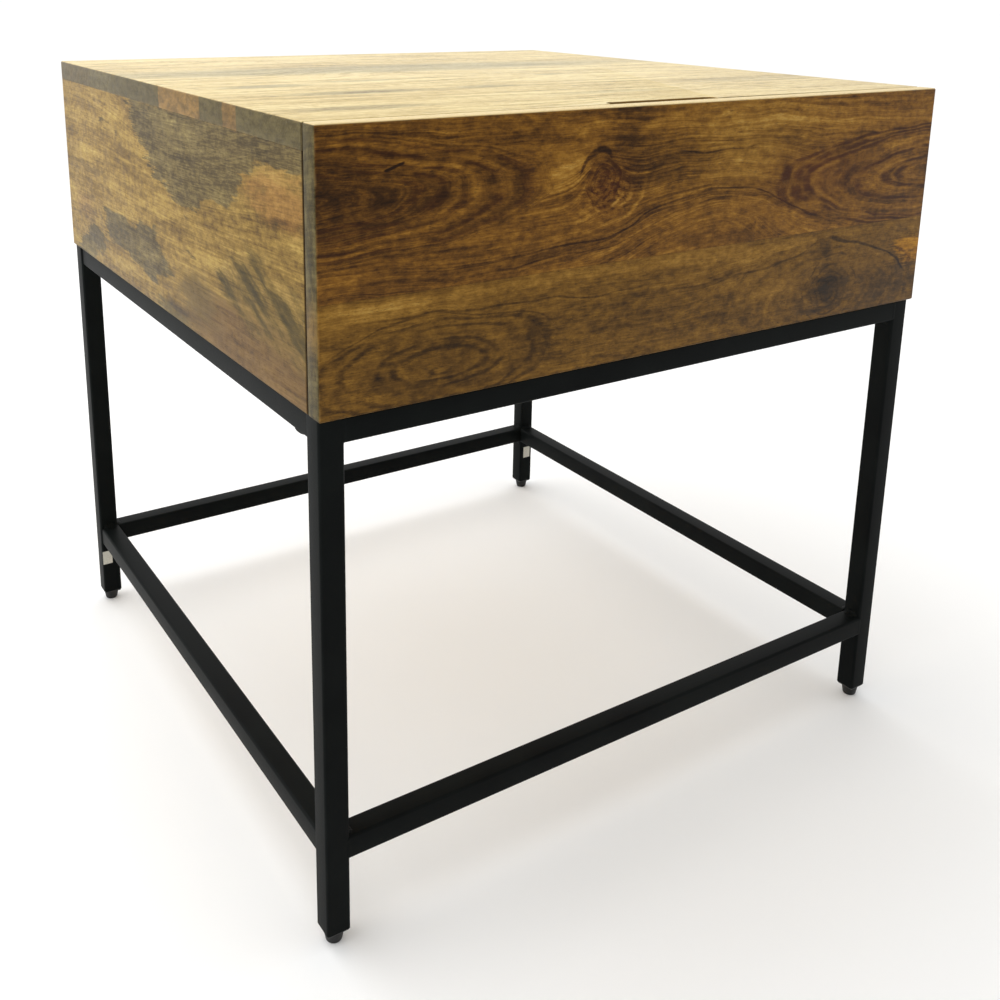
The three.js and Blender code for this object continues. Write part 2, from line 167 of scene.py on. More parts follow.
class Graph:
    """A new material and the nodes that make it."""

    def __init__(self, name):
        self.material = bpy.data.materials.new(name)
        self.material.use_nodes = True
        self.tree = self.material.node_tree
        self.shader = self.tree.nodes["Principled BSDF"]
        self.coordinates = self.add("ShaderNodeTexCoord")

    def add(self, kind, inputs=None, **settings):
        """New node with the given inputs fed and the given settings made."""
        node = self.tree.nodes.new(kind)
        for key, value in settings.items():
            setattr(node, key, value)
        for key, value in (inputs or {}).items():
            self.feed(node.inputs[key], value)
        return node

    def feed(self, socket, value):
        """Links a socket to a number or to another socket, or sets its constant value."""
        source = value.socket if isinstance(value, Number) else value
        if isinstance(source, bpy.types.NodeSocket):
            self.tree.links.new(source, socket)
        else:
            socket.default_value = source

    def math(self, operation, first, second=0.0):
        node = self.add("ShaderNodeMath", {0: first, 1: second}, operation=operation)
        return Number(self, node.outputs[0])

    def split(self, socket):
        node = self.add("ShaderNodeSeparateXYZ", {0: socket})
        return [Number(self, output) for output in node.outputs]

    def millimetres(self):
        """Place on the object as X, Y and Z in millimetres."""
        return [axis * 1000.0 for axis in self.split(self.coordinates.outputs["Object"])]

    def normal(self):
        """Direction the surface faces, as X, Y and Z."""
        return self.split(self.coordinates.outputs["Normal"])

    def noise(self, x, y, z, detail=2.0, roughness=0.5):
        place = self.add("ShaderNodeCombineXYZ", {0: x, 1: y, 2: z})
        node = self.add(
            "ShaderNodeTexNoise",
            {"Vector": place.outputs[0], "Scale": 1.0, "Detail": detail, "Roughness": roughness},
        )
        return Number(self, node.outputs[0])

    def cells(self, x, y, z):
        """Distance to the nearest of scattered points, about 0 to 1."""
        place = self.add("ShaderNodeCombineXYZ", {0: x, 1: y, 2: z})
        node = self.add("ShaderNodeTexVoronoi", {"Vector": place.outputs[0], "Scale": 1.0})
        return Number(self, node.outputs["Distance"])

    def chance(self, value):
        """A random number from 0 to 1 for each whole value."""
        node = self.add("ShaderNodeTexWhiteNoise", {"W": value}, noise_dimensions="1D")
        return Number(self, node.outputs["Value"])

    def colour_ramp(self, value, stops):
        """Colour from a list of (place, sRGB code) stops."""
        node = self.add("ShaderNodeValToRGB", {0: value})
        elements = node.color_ramp.elements
        while len(elements) < len(stops):
            elements.new(0.5)
        for element, (place, code) in zip(elements, stops):
            element.position = place
            element.color = linear(code)
        return node.outputs[0]

    def colour_steps(self, value, stops):
        """Colour that changes at once at each stop."""
        colour = self.colour_ramp(value, stops)
        colour.node.color_ramp.interpolation = "CONSTANT"
        return colour

    def curve(self, value, points):
        """Smooth curve through (value, result) points, level beyond both ends."""
        start, end = points[0][0], points[-1][0]
        results = [result for _, result in points]
        base, rise = min(results), max(results) - min(results)
        node = self.add("ShaderNodeFloatCurve", {"Value": (value - start) / (end - start)})
        track = node.mapping.curves[0].points
        while len(track) < len(points):
            track.new(0.5, 0.5)
        for spot, (place, result) in zip(track, points):
            spot.location = ((place - start) / (end - start), (result - base) / rise)
        node.mapping.update()
        return Number(self, node.outputs["Value"]) * rise + base

    def mix(self, amount, first, second, blend="MIX"):
        """Second colour laid over the first."""
        node = self.add(
            "ShaderNodeMix",
            {0: amount, 6: first, 7: second},
            data_type="RGBA",
            blend_type=blend,
            clamp_factor=True,
        )
        return node.outputs[2]

    def bump(self, height, depth, below=None):
        """Normal of a surface whose height goes from 0 to depth metres."""
        inputs = {"Height": height, "Distance": depth, "Strength": 1.0}
        if below is not None:
            inputs["Normal"] = below
        return self.add("ShaderNodeBump", inputs).outputs[0]

    def surface(self, **sockets):
        """Feeds the shader: Base_Color stands for the socket Base Color, and so on."""
        for name, value in sockets.items():
            self.feed(self.shader.inputs[name.replace("_", " ")], value)
        return self.material


def edge_distance(graph, node):
    """Millimetres from a point on a box-shaped node to the nearest edge of the box."""
    low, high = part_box(node)
    depths = []
    for axis, place in enumerate(graph.millimetres()):
        middle = (low[axis] + high[axis]) * 500
        half = (high[axis] - low[axis]) * 500
        depths.append(half - abs(place - middle))
    nearest = depths[0].low(depths[1]).low(depths[2])
    farthest = depths[0].high(depths[1]).high(depths[2])
    return depths[0] + depths[1] + depths[2] - nearest - farthest


# ---- Figures in the wood ----
#
# Places and sizes in millimetres. On the drawer front and the case boards they are
# (along, up) from the lower corner where X or Y is least. On the top they are (X, Y).

# Ovals with rings of their own: (plank, centre, half size, ring scale, ring places, depth)
FRONT_OVALS = [
    ("upper", (-10.0, 119.0), (160.0, 34.0), 1.0, (0.44, 0.55, 0.66, 0.8, 0.92), 0.16),
    ("upper", (520.0, 99.0), (178.0, 36.0), 0.8, (0.29, 0.37, 0.55, 0.85, 0.92, 1.0), 0.3),
    ("lower", (76.0, 21.0), (78.0, 27.0), 0.3, (0.34, 0.5, 0.84, 1.0), 0.2),
    ("lower", (395.0, 18.0), (97.0, 40.0), 0.5, (1.0,), 0.14),
    ("upper", (190.0, 116.0), (15.0, 16.0), 0.7, (0.3, 0.62, 0.9), 0.16),
]

# Lighter and darker areas: (centre, size, lift)
FRONT_CLOUDS = [
    ((20.0, 118.0), (110.0, 32.0), -0.2),
    ((-5.0, 128.0), (45.0, 22.0), -0.14),
    ((70.0, 146.0), (50.0, 8.0), 0.06),
    ((158.0, 124.0), (15.0, 16.0), 0.26),
    ((176.0, 146.0), (24.0, 6.0), 0.12),
    ((212.0, 146.0), (14.0, 24.0), -0.2),
    ((236.0, 124.0), (34.0, 11.0), -0.26),
    ((206.0, 102.0), (26.0, 9.0), -0.08),
    ((188.0, 118.0), (10.0, 9.0), -0.14),
    ((150.0, 74.0), (110.0, 6.0), -0.1),
    ((305.0, 138.0), (60.0, 26.0), 0.2),
    ((300.0, 110.0), (50.0, 10.0), 0.1),
    ((300.0, 84.0), (60.0, 10.0), 0.08),
    ((430.0, 147.0), (80.0, 10.0), 0.1),
    ((405.0, 100.0), (40.0, 18.0), 0.1),
    ((470.0, 118.0), (26.0, 10.0), 0.1),
    ((500.0, 98.0), (18.0, 9.0), -0.2),
    ((348.0, 110.0), (6.0, 8.0), -0.25),
    ((404.0, 112.0), (9.0, 9.0), -0.16),
    ((26.0, 58.0), (50.0, 5.0), 0.24),
    ((200.0, 59.0), (150.0, 5.0), 0.16),
    ((330.0, 57.0), (80.0, 6.0), 0.12),
    ((82.0, 20.0), (60.0, 19.0), -0.08),
    ((140.0, 30.0), (26.0, 12.0), -0.08),
    ((240.0, 34.0), (70.0, 16.0), -0.06),
    ((403.0, 23.0), (14.0, 13.0), -0.32),
    ((391.0, 53.0), (9.0, 5.0), -0.2),
    ((335.0, 32.0), (28.0, 12.0), 0.08),
    ((445.0, 32.0), (24.0, 10.0), 0.08),
    ((460.0, 16.0), (70.0, 26.0), -0.2),
    ((300.0, 12.0), (90.0, 14.0), -0.05),
]

# Small knots: (centre, half size, ring places, depth)
FRONT_KNOTS = [
    ((188.0, 119.0), (12.0, 10.0), (0.45, 1.05), 0.16),
    ((403.0, 22.0), (12.0, 12.0), (0.7, 1.1, 1.6, 2.2), 0.16),
    ((77.0, 18.0), (5.0, 2.6), (0.9,), 0.2),
]

# Dark curl round the eye-shaped knot
FRONT_CURL = [(170.0, 114.0), (174.0, 127.0), (182.0, 134.0), (190.0, 135.0), (196.0, 128.0)]

# Single lines: (points, thickness, depth). The first is the short crack.
FRONT_LINES = [
    ([(42.0, 135.0), (55.0, 139.5)], 1.1, 0.5),
    ([(244.0, 130.5), (280.0, 128.5), (319.0, 128.5)], 0.9, 0.22),
    ([(62.0, 77.0), (150.0, 78.0), (194.0, 83.0), (231.0, 95.0), (275.0, 103.0), (300.0, 103.0),
      (337.0, 94.0), (375.0, 77.0), (406.0, 66.0)], 1.0, 0.24),
    ([(90.0, 71.0), (160.0, 72.0), (215.0, 81.0), (262.0, 95.0), (300.0, 97.0), (350.0, 84.0)], 0.8, 0.14),
    ([(19.0, 52.0), (103.0, 51.0), (160.0, 47.0), (200.0, 46.0), (237.0, 52.0)], 0.8, 0.2),
    ([(0.0, 30.0), (20.0, 43.0), (60.0, 51.0), (110.0, 47.0), (159.0, 30.0)], 0.8, 0.16),
    ([(391.0, 60.0), (437.0, 49.0), (469.0, 35.0), (490.0, 22.0)], 1.4, 0.3),
    ([(300.0, 42.0), (345.0, 46.0), (391.0, 60.0)], 1.0, 0.16),
]

# Bulges of the growth rings on the top: (centre, size, lift)
TOP_BULGES = [
    ((-60.0, 60.0), (70.0, 60.0), 60.0),
    ((120.0, -40.0), (120.0, 26.0), 34.0),
    ((-200.0, -190.0), (130.0, 30.0), 30.0),
    ((40.0, -215.0), (110.0, 22.0), 24.0),
    ((-120.0, 200.0), (120.0, 30.0), 34.0),
]

# Greyer smudges on the top: (centre, size, amount)
TOP_SMUDGES = [
    ((-40.0, 72.0), (300.0, 40.0), 0.7),
    ((-187.0, -44.0), (36.0, 11.0), 0.7),
    ((-110.0, -28.0), (40.0, 8.0), 0.45),
    ((62.0, -31.0), (16.0, 6.0), 0.7),
    ((-150.0, -106.0), (60.0, 12.0), 0.6),
    ((-47.0, -103.0), (30.0, 10.0), 0.6),
    ((-190.0, -190.0), (50.0, 12.0), 0.5),
    ((10.0, -170.0), (60.0, 8.0), 0.35),
    ((170.0, -130.0), (70.0, 14.0), 0.3),
]

# Blocks on the ends of the top: (share of the table's depth where one starts, colour)
TOP_BLOCKS = [
    (0.0, "6b5f3a"), (0.206, "8d6c3a"), (0.25, "6a5d38"), (0.326, "a07b40"), (0.482, "665a36"),
    (0.7, "746842"), (0.818, "6d5d38"),
]

# A case board has ragged grey blobs as (lower, upper) outlines, warm patches as (centre, size,
# colour, amount), and one fan of olive streaks as (lower, upper) outlines. An outline is a list
# of (along, up) points. ABOVE_THE_BOARD and BELOW_THE_BOARD close a blob that runs off an edge.
ABOVE_THE_BOARD = [(0.0, 200.0), (500.0, 201.0)]
BELOW_THE_BOARD = [(0.0, -9.0), (500.0, -8.0)]

LEFT_BLOBS = [
    ([(-10.0, 129.0), (66.0, 129.0), (84.0, 112.0), (112.0, 97.0), (145.0, 93.0), (188.0, 86.0),
      (219.0, 90.0), (266.0, 110.0), (297.0, 141.0), (304.0, 160.0)],
     ABOVE_THE_BOARD),
    ([(217.0, 40.0), (235.0, 26.0), (260.0, 16.0), (285.0, 19.0), (335.0, 26.0), (360.0, 27.0),
      (383.0, 44.0)],
     [(217.0, 32.0), (235.0, 43.0), (262.0, 57.0), (286.0, 58.0), (298.0, 51.0), (354.0, 52.0),
      (383.0, 36.0)]),
    ([(377.0, 30.0), (391.0, 12.0), (407.0, 7.0), (422.0, 0.0), (470.0, -6.0)],
     [(377.0, 24.0), (391.0, 31.0), (413.0, 30.0), (432.0, 24.0), (470.0, -10.0)]),
]
LEFT_WARM = [
    ((30.0, 113.0), (50.0, 16.0), "a2713a", 0.5),
    ((70.0, 14.0), (130.0, 32.0), "715430", 0.85),
    ((165.0, 26.0), (40.0, 18.0), "5f4e28", 0.6),
    ((250.0, 136.0), (30.0, 12.0), "6b5638", 0.5),
    ((94.0, 135.0), (9.0, 7.0), "724a25", 0.8),
    ((440.0, 44.0), (30.0, 10.0), "9f7a48", 0.4),
    ((228.0, 4.0), (22.0, 8.0), "615835", 0.7),
    ((200.0, 3.0), (16.0, 7.0), "615835", 0.6),
    ((410.0, 78.0), (60.0, 3.0), "66502a", 0.6),
    ((369.0, 122.0), (8.0, 3.0), "4a3e22", 0.7),
    ((332.0, 117.0), (5.0, 2.0), "4a3e22", 0.6),
    ((410.0, 42.0), (5.0, 2.5), "563c1f", 0.7),
    ((177.0, 54.0), (6.0, 2.0), "43371e", 0.7),
    ((179.0, 76.0), (4.0, 2.0), "43371e", 0.6),
]
LEFT_FAN = (
    [(-10.0, 24.0), (60.0, 26.0), (100.0, 34.0), (140.0, 56.0)],
    [(-10.0, 58.0), (17.0, 63.0), (45.0, 71.0), (70.0, 76.0), (94.0, 69.0), (117.0, 60.0), (140.0, 52.0)],
)

RIGHT_BLOBS = [
    (BELOW_THE_BOARD,
     [(240.0, -6.0), (275.0, 22.0), (330.0, 44.0), (390.0, 38.0), (450.0, -6.0)]),
    ([(30.0, 152.0), (60.0, 128.0), (110.0, 118.0), (150.0, 132.0), (175.0, 152.0)],
     ABOVE_THE_BOARD),
]
RIGHT_WARM = [
    ((220.0, 96.0), (70.0, 18.0), "a2713a", 0.45),
    ((60.0, 30.0), (60.0, 24.0), "916d45", 0.5),
    ((318.0, 104.0), (6.0, 2.5), "43371e", 0.6),
]
RIGHT_FAN = (
    [(340.0, 84.0), (400.0, 70.0), (495.0, 66.0)],
    [(340.0, 80.0), (390.0, 108.0), (440.0, 118.0), (495.0, 110.0)],
)

BACK_BLOBS = [
    ([(50.0, 66.0), (90.0, 42.0), (140.0, 40.0), (190.0, 62.0)],
     [(50.0, 60.0), (80.0, 78.0), (130.0, 82.0), (190.0, 58.0)]),
    ([(300.0, 152.0), (340.0, 120.0), (390.0, 108.0), (440.0, 130.0), (460.0, 152.0)],
     ABOVE_THE_BOARD),
]
BACK_WARM = [
    ((260.0, 60.0), (70.0, 22.0), "a2713a", 0.4),
    ((120.0, 118.0), (60.0, 12.0), "916d45", 0.4),
    ((226.0, 110.0), (6.0, 2.5), "43371e", 0.6),
]
BACK_FAN = (
    [(270.0, 40.0), (340.0, 14.0), (440.0, 20.0)],
    [(270.0, 36.0), (320.0, 62.0), (380.0, 66.0), (440.0, 30.0)],
)

# Colours of the hidden boards and of the streaks that tint a warm patch: (place, colour)
SIDE_SHADES = [(0.1, "8c8478"), (0.5, "e0dcd0"), (0.8, "ffffff")]
BOX_STOPS = [(0.0, "9a764a"), (0.4, "bd9763"), (0.7, "d0ad79"), (1.0, "e2c697")]
PLY_STOPS = [(0.0, "a98a5e"), (0.4, "c6a878"), (0.7, "d8bd8f"), (1.0, "e7d2aa")]


# ---- Wood ----

def hill(along, across, centre, size):
    """Smooth round hill of height 1 about a centre, as wide as size says."""
    du = (along - centre[0]) / size[0]
    dv = (across - centre[1]) / size[1]
    return (-1.0 * (du * du + dv * dv)).exp()


def oval(along, across, centre, half):
    """Distance from a centre that is 1 on the oval with the given half sizes."""
    du = (along - centre[0]) / half[0]
    dv = (across - centre[1]) / half[1]
    return (du * du + dv * dv) ** 0.5


def rings(distance, half_height, places, thickness):
    """Thin ovals at the given values of an oval's distance."""
    total = 0.0
    for place in places:
        total = (abs(distance - place) * half_height).ramp(0.2 * thickness, thickness, 1.0, 0.0) + total
    return total


def trace(graph, along, across, points, thickness):
    """Thin line that runs smoothly through (along, across) points and fades at its ends."""
    off = abs(across - graph.curve(along, points))
    start, end = points[0][0], points[-1][0]
    fade = (end - start) * 0.12
    within = along.ramp(start, start + fade) * along.ramp(end - fade, end, 1.0, 0.0)
    return off.ramp(0.3 * thickness, thickness, 1.0, 0.0) * within


def between(graph, along, across, lower, upper, softness=0.7):
    """1 where across lies between two curves, each given as (along, across) points."""
    above = (across - graph.curve(along, lower)).ramp(-softness, softness)
    below = (graph.curve(along, upper) - across).ramp(-softness, softness)
    return above * below


def wobble(graph, along, across, seed, reach, pitch, detail=4.0):
    """Both coordinates pushed about by noise, so that shapes laid on them get natural edges.

    reach and pitch are (along, across) pairs.
    """
    place = (along / pitch[0], across / pitch[1])
    push_along = graph.noise(*place, seed, detail=detail, roughness=0.6) - 0.5
    push_across = graph.noise(*place, seed + 31.0, detail=detail, roughness=0.6) - 0.5
    return along + push_along * (2 * reach[0]), across + push_across * (2 * reach[1])


class Grain:
    """Fibres and pores along `along`, and growth rings along the level lines of `growth`."""

    def __init__(self, graph, along, across, growth, seed):
        sway = graph.noise(along / 150.0, across / 60.0, seed, detail=2.0) - 0.5
        fibre = across + sway * 6.0
        self.bands = graph.noise(along / 240.0, growth / 10.0, seed, detail=3.0, roughness=0.6)
        self.growth = graph.noise(along / 120.0, growth / 2.2, seed + 3.0, detail=3.0, roughness=0.65)
        self.streaks = graph.noise(along / 26.0, fibre / 1.0, seed + 5.0, detail=4.0, roughness=0.75)
        contour = graph.noise(along / 420.0, growth / 13.0, seed + 9.0, detail=1.5) * 7.0
        folded = abs(contour - graph.math("ROUND", contour))
        self.lines = folded.ramp(0.0, 0.14, 1.0, 0.0)
        dashes = graph.noise(along / 4.2, fibre / 0.5, seed + 13.0, detail=2.0, roughness=0.7)
        self.pores = dashes.ramp(0.56, 0.68) * self.growth.ramp(0.35, 0.62)
        self.mottle = graph.noise(along / 8.0, across / 5.0, seed + 21.0, detail=3.0, roughness=0.7)

    def tone(self, bands, growth, streaks, mottle):
        """Lightness about 0, from the given amount of each pattern."""
        return (
            (self.bands - 0.5) * bands
            + (self.growth - 0.5) * growth
            + (self.streaks - 0.5) * streaks
            + (self.mottle - 0.5) * mottle
        )


def finish_wood(graph, node, colour, grain, roughness=0.45, pore_strength=0.5, pore_colour="22150a"):
    """Worn edges, painted shade in the drawer gap and above the frame, fine relief and a satin finish.

    The painted shade in the gap is faint on upward faces. On the faces that the open drawer shows it keeps
    to their edges. Above the frame it is a dark painted shadow line on upright faces.
    """
    edge = edge_distance(graph, node)
    x, y, z = graph.millimetres()
    rub = graph.noise(x / 9.0, y / 9.0, z / 9.0, detail=3.0)
    worn = edge.ramp(0.2, 1.6, 1.0, 0.0) * rub.ramp(0.4, 0.7)
    colour = graph.mix(worn * 0.18, colour, linear("c9a468"))
    colour = graph.mix(grain.pores * pore_strength, colour, linear(pore_colour))
    _, ny, nz = graph.normal()
    # Painted shade: boards darkened along the narrow gap between the drawer front and the case
    gap_shade = abs(y - DRAWER_GAP * 1000).ramp(0.5, 1.7, 1.0, 0.0) * nz.ramp(0.4, 0.9, 0.95, 0.3)
    gap_shade = gap_shade * (1.0 - abs(ny) * edge.ramp(1.0, 4.0))
    # Painted shadow: a dark line low on upright board faces, where they rest on the frame
    frame_shadow = (z - FRAME_TOP * 1000).ramp(0.3, 1.8, 0.85, 0.0) * (1.0 - abs(nz))
    colour = graph.mix(gap_shade.high(frame_shadow), colour, linear("1c140b"))
    relief = grain.streaks * 0.35 - grain.pores * 0.8 + rub * 0.25
    return graph.surface(
        Base_Color=colour,
        Roughness=roughness + (rub - 0.5) * 0.16 + grain.pores * 0.2,
        Normal=graph.bump(relief, 0.00012),
        Specular_IOR_Level=0.12,
    )


def end_grain(graph, across, depth, seed):
    """Darkness of curved rings cut across, about 0 to 1."""
    bend = depth * depth / 60.0
    arcs = graph.noise((across + bend) / 2.6, depth / 30.0, seed, detail=3.0, roughness=0.6)
    specks = graph.noise(across / 0.8, depth / 0.8, seed, detail=2.0, roughness=0.7)
    return arcs.ramp(0.3, 0.7) * 0.6 + (specks - 0.5) * 0.9 + 0.2


def add_clouds(tone, along, across, clouds):
    """Lifts or lowers a tone by soft clouds of (centre, size, strength)."""
    for centre, size, strength in clouds:
        tone = tone + hill(along, across, centre, size) * strength
    return tone


def front_growth(graph, planks, wu, ww, fu, breaks):
    """Height across the growth rings of the drawer front, and the darkness of its nested arcs.

    The rings bulge over the middle, bend round the small knot and arch over the lower knots.
    """
    upper = ww + wu * 0.03 - hill(wu, ww, (282.0, 80.0), (85.0, 45.0)) * 40.0
    upper = upper - hill(wu, ww, (188.0, 119.0), (18.0, 14.0)) * 20.0
    lower = ww - hill(wu, ww, (72.0, 22.0), (95.0, 24.0)) * 14.0
    lower = lower - hill(wu, ww, (395.0, 30.0), (70.0, 28.0)) * 26.0
    growth = lower + planks["upper"] * (upper - lower + 300.0)
    arcs = 0.0
    for number, (plank, centre, half, scale, places, depth) in enumerate(FRONT_OVALS):
        distance = oval(wu, ww, centre, half)
        inside = distance.ramp(0.985, 1.015, 1.0, 0.0) * planks[plank]
        growth = growth + inside * (distance * (half[1] * scale) + 600.0 + 100.0 * number - growth)
        feathered = oval(fu, ww, centre, half)
        arcs = rings(feathered, half[1], places, 1.4) * planks[plank] * breaks * depth + arcs
    return growth, arcs


def front_marks(graph, u, w, fu, ww, breaks):
    """Darkness of the small knots on the drawer front, with the specks and flecks round them."""
    marks = 0.0
    for centre, half, places, depth in FRONT_KNOTS:
        marks = rings(oval(fu, ww, centre, half), half[1], places, 1.2) * breaks * depth + marks
    specks = graph.noise(u / 3.2, w / 2.4, 23.0, detail=2.0).ramp(0.5, 0.62)
    marks = marks + specks * hill(u, w, (196.0, 108.0), (18.0, 12.0)) * 0.3
    flecks = graph.noise(u / 7.0, w / 3.0, 24.0, detail=3.0, roughness=0.7) - 0.45
    marks = marks - flecks * hill(u, w, (188.0, 114.0), (26.0, 20.0)) * 1.1
    marks = marks + trace(graph, u, w, FRONT_CURL, 3.0) * 0.36
    halo = rings(oval(fu, ww, (190.0, 121.0), (30.0, 24.0)), 24.0, (0.85, 1.0, 1.25), 1.4)
    return marks - halo * hill(u, w, (212.0, 100.0), (26.0, 10.0)) * 0.26


def front_colour(graph, planks, tone, grain, arcs, wu, ww):
    """Colour of the face of the drawer front: olive, reddish and amber areas over brown."""
    face = graph.colour_ramp(tone, [
        (0.0, "231305"), (0.22, "41280c"), (0.42, "654215"), (0.6, "83591d"), (0.8, "a0742c"),
        (1.0, "bb9145"),
    ])
    olive = graph.colour_ramp(tone, [
        (0.0, "201505"), (0.3, "47330d"), (0.55, "6a4f1b"), (0.8, "89682b"), (1.0, "a5823d"),
    ])
    olive_share = planks["lower"] * 0.5 + hill(wu, ww, (310.0, 130.0), (80.0, 30.0)) * 0.35
    face = graph.mix(olive_share, face, olive)
    red = hill(wu, ww, (194.0, 113.0), (20.0, 16.0)) + hill(wu, ww, (380.0, 106.0), (50.0, 18.0))
    face = graph.mix(red * 0.3 + arcs * planks["upper"] * 0.8, face, linear("57290f"))
    gold = graph.colour_ramp(tone, [(0.2, "5c3606"), (0.4, "9a6710"), (0.6, "c78d20"), (0.9, "dba93f")])
    amber = hill(wu, ww, (488.0, 41.0), (20.0, 12.0)) + (grain.streaks - 0.5)
    return graph.mix(amber.ramp(0.3, 0.75) * 0.85, face, gold)


def front_edges(graph, face, grain, y, z, w, inward):
    """The drawer front's face colour with end grain on its ends and a top edge made pale as painted light.
    """
    cut = end_grain(graph, z, inward, 4.0)
    blotch = graph.noise(y / 6.0, w / 14.0, 47.0, detail=3.0, roughness=0.65)
    cut = cut * 0.6 + blotch.ramp(0.35, 0.65) * 0.5
    end = graph.colour_ramp(cut, [(0.0, "6b5f38"), (0.5, "4f4423"), (1.0, "2e260f")])
    tan_end = graph.colour_ramp(cut, [(0.0, "906c2e"), (1.0, "4d3914")])
    end = graph.mix(hill(inward, w, (7.0, 50.0), (30.0, 15.0)) * 0.7, end, tan_end)
    # Painted light: upward faces of the same plank turn pale cream, as if brightly lit from above
    lit_top_edge = graph.colour_ramp(grain.streaks, [(0.2, "c4a76c"), (0.8, "ecd9a4")])
    nx, _, nz = graph.normal()
    face = graph.mix(abs(nx).ramp(0.6, 0.8), face, end)
    return graph.mix(nz.ramp(0.6, 0.8), face, lit_top_edge)


def front_wood():
    """The drawer front: a dark upper plank over an olive lower one, with knots and nested arcs."""
    graph = Graph("mango_front")
    x, y, z = graph.millimetres()
    low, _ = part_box("drawer_front")
    u = x - low.x * 1000
    w = z - low.z * 1000
    inward = y - low.y * 1000
    upper = w.ramp(FRONT_JOINT - 0.15, FRONT_JOINT + 0.15)
    planks = {"upper": upper, "lower": 1.0 - upper}
    wu, ww = wobble(graph, u, w, 3.0, (14.0, 6.0), (60.0, 26.0), detail=1.5)
    feathers = graph.noise(u / 20.0, w / 0.9, 12.0, detail=3.0, roughness=0.7) - 0.5
    fu = wu + feathers * 8.0
    breaks = graph.noise(u / 40.0, w / 9.0, 17.0, detail=2.0).ramp(0.36, 0.56)
    growth, arcs = front_growth(graph, planks, wu, ww, fu, breaks)
    grain = Grain(graph, u, w + inward * 0.8, growth + inward * 0.8, 2.0)

    blotches = graph.noise(u / 34.0, w / 11.0, 27.0, detail=4.0, roughness=0.65) - 0.5
    patchy = graph.noise(u / 90.0, w / 30.0, 37.0, detail=1.5).ramp(0.35, 0.6, 0.55, 1.0)
    figure = grain.tone(0.8, 1.1, 0.0, 0.0) - grain.lines * 0.1
    figure = figure * (upper * 0.35 + 0.55) * patchy
    tone = 0.5 + figure + grain.tone(0.0, 0.0, 0.45, 0.8) + blotches * 0.55
    tone = add_clouds(tone, wu, ww, FRONT_CLOUDS) - arcs
    tone = tone - front_marks(graph, u, w, fu, ww, breaks)
    for points, thickness, depth in FRONT_LINES:
        tone = tone - trace(graph, wu, ww, points, thickness) * depth
    tone = tone - abs(w - FRONT_JOINT).ramp(0.0, 0.5, 1.0, 0.0) * 0.1

    face = front_colour(graph, planks, tone, grain, arcs, wu, ww)
    face = front_edges(graph, face, grain, y, z, w, inward)
    return finish_wood(graph, "drawer_front", face, grain, pore_strength=0.65, pore_colour="1a0f06")


def side_wood(node, blobs, warm_patches, fan, seed):
    """A case board: golden tan with ragged grey blobs, warm patches and a fan of olive streaks.

    The back board runs along X, and the sides run along Y.
    """
    graph = Graph(f"mango_{node}")
    x, y, z = graph.millimetres()
    low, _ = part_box(node)
    u = x - low.x * 1000 if node == "case_back" else y - low.y * 1000
    w = z - low.z * 1000
    growth = w + u * 0.03 + hill(u, w, (200.0, 150.0), (130.0, 60.0)) * 34.0
    grain = Grain(graph, u, w + u * 0.02, growth, seed)
    wu, ww = wobble(graph, u, w, seed + 2.0, (34.0, 11.0), (30.0, 9.0))
    wu = wu + (grain.streaks - 0.5) * 44.0

    patches = graph.noise(u / 90.0, w / 20.0, seed + 60.0, detail=4.0, roughness=0.6)
    tone = 0.5 + grain.tone(0.6, 0.6, 0.5, 0.9) + (patches - 0.5) * 1.1 - grain.lines * 0.1
    face = graph.colour_ramp(tone, [
        (0.0, "3b2b10"), (0.25, "624a1e"), (0.45, "80652d"), (0.65, "9b7e3e"), (0.85, "b0964f"),
        (1.0, "c2ac66"),
    ])
    for centre, size, colour, amount in warm_patches:
        mask = (hill(wu, ww, centre, size) + (grain.mottle - 0.5) * 0.9).ramp(0.2, 0.8)
        tinted = graph.mix(1.0, linear(colour), graph.colour_ramp(tone, SIDE_SHADES), blend="MULTIPLY")
        face = graph.mix(mask * amount, face, tinted)

    slant = w + (ww - w) * 0.3 - u * 0.45
    streaks = graph.noise(u / 60.0, slant / 9.0, seed + 40.0, detail=2.5, roughness=0.6)
    shade = streaks + (tone - 0.5) * 0.5
    olive = graph.colour_ramp(shade, [(0.25, "3a2f13"), (0.5, "5a491f"), (0.75, "836835")])
    inside_fan = between(graph, wu, ww, *fan, softness=8.0)
    face = graph.mix(inside_fan * streaks.ramp(0.72, 0.4, 0.45, 1.0), face, olive)

    grey = graph.colour_ramp(
        0.46 + grain.tone(0.6, 0.6, 1.3, 1.0) + (patches - 0.5) * 1.1,
        [(0.0, "271e0e"), (0.35, "483c20"), (0.6, "665834"), (0.85, "807145"), (1.0, "98885a")],
    )
    for lower, upper in blobs:
        face = graph.mix(between(graph, wu, ww, lower, upper, softness=1.2) * 0.88, face, grey)

    nx, ny, _ = graph.normal()
    if node == "case_back":
        facing, depth = nx, y - low.y * 1000
    else:
        facing, depth = ny, x - low.x * 1000
    cut = end_grain(graph, w, depth, seed + 70.0)
    end = graph.colour_ramp(cut, [(0.0, "96794a"), (0.5, "745833"), (1.0, "4a371c")])
    face = graph.mix(abs(facing).ramp(0.6, 0.8), face, end)
    return finish_wood(graph, node, face, grain, pore_strength=0.4, pore_colour="33260f")


